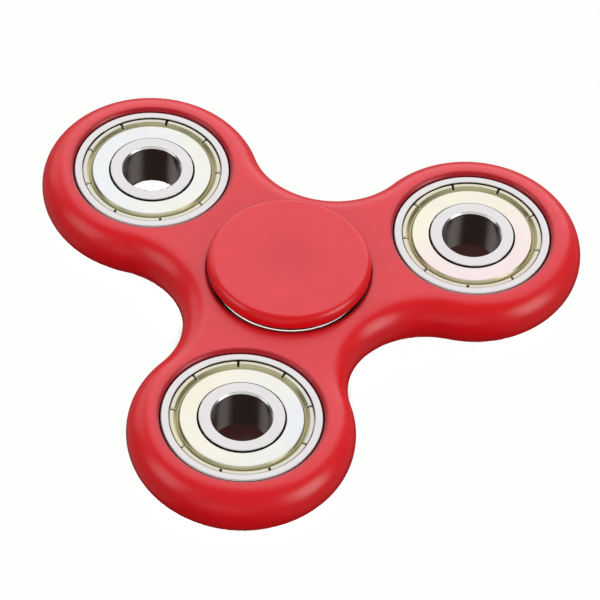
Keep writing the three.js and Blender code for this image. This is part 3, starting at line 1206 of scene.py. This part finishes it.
class SPINNER_OT_outer_rings(bpy.types.Operator):
    """Make the outer ring of each bearing"""

    bl_idname = "spinner.outer_rings"
    bl_label = "Outer Rings"

    def execute(self, context):
        """The same section at each of the four places, with a rounder corner in the centre."""
        scene = context.scene
        rings = scene.spinner_rings
        for place in PLACES:
            rounding = rings.centre_rounding if place == "centre" else rings.outer_rounding
            section = outer_ring_section(rings, scene.spinner_cages.pitch_radius, rounding)
            ring = add_turned(f"{place}_outer_ring", "ground", section, finish("ring_steel"), 256)
            if place == "centre":
                reached("centre_ring_only").objects.link(ring)
        return {"FINISHED"}


class SPINNER_OT_inner_rings(bpy.types.Operator):
    """Make the inner ring of each bearing"""

    bl_idname = "spinner.inner_rings"
    bl_label = "Inner Rings"

    def execute(self, context):
        """The same section at each of the four places."""
        scene = context.scene
        section = inner_ring_section(scene.spinner_rings, scene.spinner_cages.pitch_radius)
        for place in PLACES:
            add_turned(f"{place}_inner_ring", "ground", section, finish("ring_steel"), 208)
        return {"FINISHED"}


# The plating film on the shields: its mean, its swing round the shield, and where round it it is thickest.
PLATING_FILMS = {
    "left": (0.40, 0.04, 0.0),
    "right": (0.60, 0.09, math.radians(300)),
    "front": (0.45, 0.10, math.pi),
    "centre": (0.45, 0.0, 0.0),
}


class SPINNER_OT_shields(bpy.types.Operator):
    """Make the two pressed shields of each bearing"""

    bl_idname = "spinner.shields"
    bl_label = "Shields"

    def execute(self, context):
        """The section is carried round, and its rim is let down to the lowest turn inside each cut."""
        sizes = context.scene.spinner_shields
        section = shield_section(sizes)
        for place in PLACES:
            start = getattr(sizes, f"{place}_turn")
            for level, upside in SIDES_OF_PLANE.items():
                add_shield(f"{place}_shield_{level}", section, sizes, start, PLATING_FILMS[place], upside)
        return {"FINISHED"}


def add_shield(node, section, sizes, start, film, upside):
    """One shield, turned over where upside is -1.

    Inside the cuts, points above the floor of a cut and past its start come down to it. The points carry
    how far they take the rim's yellow and its painted shade, whether they lie in a cut, whose floor is
    painted dark as shade, and the thickness of the plating's film, which goes round as mean + swing cos(a -
    thickest).
    """
    bead_radius = sizes.outer_radius - 0.5 * MM
    half_angle = sizes.slit_width / 2 / bead_radius
    corner = 0.02 * MM / sizes.outer_radius
    cuts = start + even_angles(SLIT_COUNT)
    edges = cuts[:, None] + np.array([-1, -1, 1, 1]) * half_angle + np.array([-1, 0, 0, 1]) * corner
    angles = np.sort(np.concatenate([even_angles(216), (edges % TURN).ravel()]))
    centre = np.array([*middle(node)[:2], MIDDLE_PLANE])
    points, along = turned(section, centre, angles)
    nearest = np.abs((angles[:, None] - cuts + TURN / 2) % TURN - TURN / 2).min(axis=1)
    in_cut = nearest <= half_angle * 1.0001
    floor = sizes.underside + 0.04 * MM
    lowered = (section[:, :1] > sizes.slit_start) & (section[:, 1:] > floor) & in_cut
    height = np.where(lowered, floor, section[:, 1:] + 0 * angles)
    points[..., 2] = MIDDLE_PLANE + upside * height
    faces = grid_faces(len(section), len(angles), rows_meet=True, columns_meet=True)
    from_rim = (sizes.outer_radius - section[:, :1]) / MM + 0 * angles
    mean, swing, thickest = film
    layers = {
        "along": along,
        # Rim layer: partial on the bead, full on the slope and channel, where the yellow carries painted
        # shade.
        "rim": np.interp(from_rim, [0.0, 0.45, 0.7, 1.25, 1.5], [0.45, 0.45, 1.0, 1.0, 0.0]),
        "cut": lowered.astype(float),
        "film": mean + swing * np.cos(angles - thickest) + 0 * section[:, :1],
    }
    add_piece(node, "pressed", points, faces, finish("shield_plating"), **layers)


class SPINNER_OT_cages(bpy.types.Operator):
    """Make the two halves of each ribbon cage"""

    bl_idname = "spinner.cages"
    bl_label = "Cages"

    def execute(self, context):
        """One wavy ribbon for each half, with a rivet head on each flat between two balls."""
        points, along, faces = cage_surface(context.scene.spinner_cages)
        for place in PLACES:
            for level, upside in SIDES_OF_PLANE.items():
                node = f"{place}_cage_{level}"
                centre = np.array([*middle(f"{place}_outer_ring")[:2], MIDDLE_PLANE])
                placed = points * np.array([1, 1, upside]) + centre
                add_piece(node, "pressed", placed, faces, finish("cage_steel"), along=along)
        return {"FINISHED"}


def ribbon_surface(sizes, flat):
    """The ribbon of an upper cage half about its own axis, as points, their along layer and faces.

    The ribbon's middle line runs round the pitch circle. Over a ball it is an arch, s = R sin t and
    height R cos t, and between balls it is flat; the two are blended by (x + sqrt(x^2 + e^2)) / 2 of
    their difference x. A rounded section is carried along it, square to the line.
    """
    arch = sizes.pocket_radius + sizes.sheet / 2
    t = np.linspace(-math.pi / 2, math.pi / 2, 44)
    soft = 0.12 * MM
    rise = arch * np.cos(t) - flat
    height = flat + (rise + np.sqrt(rise**2 + soft**2)) / 2 - soft * 0.1
    run = arch * np.sin(t)
    whole = TURN * sizes.pitch_radius
    line_run = np.concatenate([run + k * whole / BALL_COUNT for k in range(BALL_COUNT)])
    line_height = np.tile(height, BALL_COUNT)
    ahead = np.roll(line_run, -1)
    ahead[-1] += whole
    behind = np.roll(line_run, 1)
    behind[0] -= whole
    rising = np.roll(line_height, -1) - np.roll(line_height, 1)
    direction = unit(np.stack([ahead - behind, rising], axis=-1))
    half = sizes.sheet / 2
    edge = 0.08 * MM
    ribbon = rounded(
        [
            (sizes.inner_radius, -half, edge),
            (sizes.outer_radius, -half, edge),
            (sizes.outer_radius, half, edge),
            (sizes.inner_radius, half, edge),
        ],
        steps=3,
    )
    radius, lift = ribbon[:, :1], ribbon[:, 1:]
    angle_round = (line_run - lift * direction[:, 1]) / sizes.pitch_radius
    z = np.maximum(line_height + lift * direction[:, 0], 0.05 * MM)
    points = np.stack([radius * np.cos(angle_round), radius * np.sin(angle_round), z], axis=-1)
    step = np.linalg.norm(np.diff(ribbon, axis=0, prepend=ribbon[:1]), axis=1)
    distance = np.cumsum(step)[:, None] / MM + 0 * angle_round
    along = np.stack([np.cos(angle_round), np.sin(angle_round), distance], axis=-1)
    faces = grid_faces(len(ribbon), len(line_run), rows_meet=True, columns_meet=True)
    return points.reshape(-1, 3), along.reshape(-1, 3), faces


def cage_surface(sizes):
    """The upper half of a cage: its ribbon, and a domed rivet head on each flat between two balls."""
    flat = 0.05 * MM + sizes.sheet / 2
    points, along, faces = ribbon_surface(sizes, flat)
    head = sizes.rivet_radius
    tilt = np.linspace(0, math.pi / 2, 8)
    dome_foot = flat + 0.45 * sizes.sheet
    dome = np.stack([head * np.cos(tilt), dome_foot + 0.5 * head * np.sin(tilt)], axis=-1)
    button = np.concatenate([[[0.0, flat], [head, flat]], dome])
    angles = even_angles(24)
    grids, attributes, quads = [points], [along], [faces]
    count = len(points)
    for k in range(BALL_COUNT):
        a = (k + 0.5) * TURN / BALL_COUNT
        centre = np.array([sizes.pitch_radius * math.cos(a), sizes.pitch_radius * math.sin(a), 0.0])
        rivet, rivet_along = turned(button, centre, angles)
        quads.append(grid_faces(len(button), len(angles), columns_meet=True, first=count))
        grids.append(rivet.reshape(-1, 3))
        attributes.append(rivet_along.reshape(-1, 3))
        count += len(button) * len(angles)
    return np.concatenate(grids), np.concatenate(attributes), np.concatenate(quads)


class SPINNER_OT_balls(bpy.types.Operator):
    """Make the seven balls of each bearing"""

    bl_idname = "spinner.balls"
    bl_label = "Balls"

    def execute(self, context):
        """A half circle carried round each ball's own upright axis."""
        radius = context.scene.spinner_cages.ball_radius
        tilt = np.linspace(-math.pi / 2, math.pi / 2, 33)
        section = radius * np.stack([np.cos(tilt), np.sin(tilt)], axis=-1)
        section[[0, -1], 0] = 0.0
        angles = even_angles(56)
        faces = grid_faces(len(section), len(angles), columns_meet=True)
        for place in PLACES:
            for k in range(BALL_COUNT):
                node = f"{place}_ball_{k + 1}"
                points, _ = turned(section, middle(node), angles)
                add_piece(node, "polished", points, faces, finish("ball_steel"))
        return {"FINISHED"}


# ---- The add-on ----


class SPINNER_PT_panel(bpy.types.Panel):
    """Lists what the add-on makes, with the sizes and colours that it reads"""

    bl_idname = "SPINNER_PT_panel"
    bl_label = "Fidget Spinner"
    bl_space_type = "VIEW_3D"
    bl_region_type = "UI"
    bl_category = "Fidget Spinner"

    def draw(self, context):
        """A button for each operator, then every value."""
        for operator in OPERATORS:
            self.layout.operator(operator.bl_idname)
        for name, group in SETTINGS.items():
            box = self.layout.box()
            box.label(text=group.__doc__)
            for value in group.__annotations__:
                box.prop(getattr(context.scene, name), value)


SETTINGS = {
    "spinner_stage": StageSettings,
    "spinner_body": BodySizes,
    "spinner_caps": CapSizes,
    "spinner_rings": RingSizes,
    "spinner_shields": ShieldSizes,
    "spinner_cages": CageSizes,
    "spinner_colours": FinishColours,
}

OPERATORS = (
    SPINNER_OT_stage,
    SPINNER_OT_body,
    SPINNER_OT_caps,
    SPINNER_OT_outer_rings,
    SPINNER_OT_inner_rings,
    SPINNER_OT_shields,
    SPINNER_OT_cages,
    SPINNER_OT_balls,
)


def register():
    """Registers the classes and hangs the settings on the scene."""
    for cls in (*SETTINGS.values(), *OPERATORS, SPINNER_PT_panel):
        bpy.utils.register_class(cls)
    for name, group in SETTINGS.items():
        setattr(bpy.types.Scene, name, PointerProperty(type=group))


def unregister():
    """Takes the settings and the classes away again."""
    for name in SETTINGS:
        delattr(bpy.types.Scene, name)
    for cls in reversed((*SETTINGS.values(), *OPERATORS, SPINNER_PT_panel)):
        bpy.utils.unregister_class(cls)


def main():
    register()
    bpy.ops.spinner.stage()
    bpy.ops.spinner.body()
    bpy.ops.spinner.caps()
    bpy.ops.spinner.outer_rings()
    bpy.ops.spinner.inner_rings()
    bpy.ops.spinner.shields()
    bpy.ops.spinner.cages()
    bpy.ops.spinner.balls()


if __name__ == "__main__":
    main()
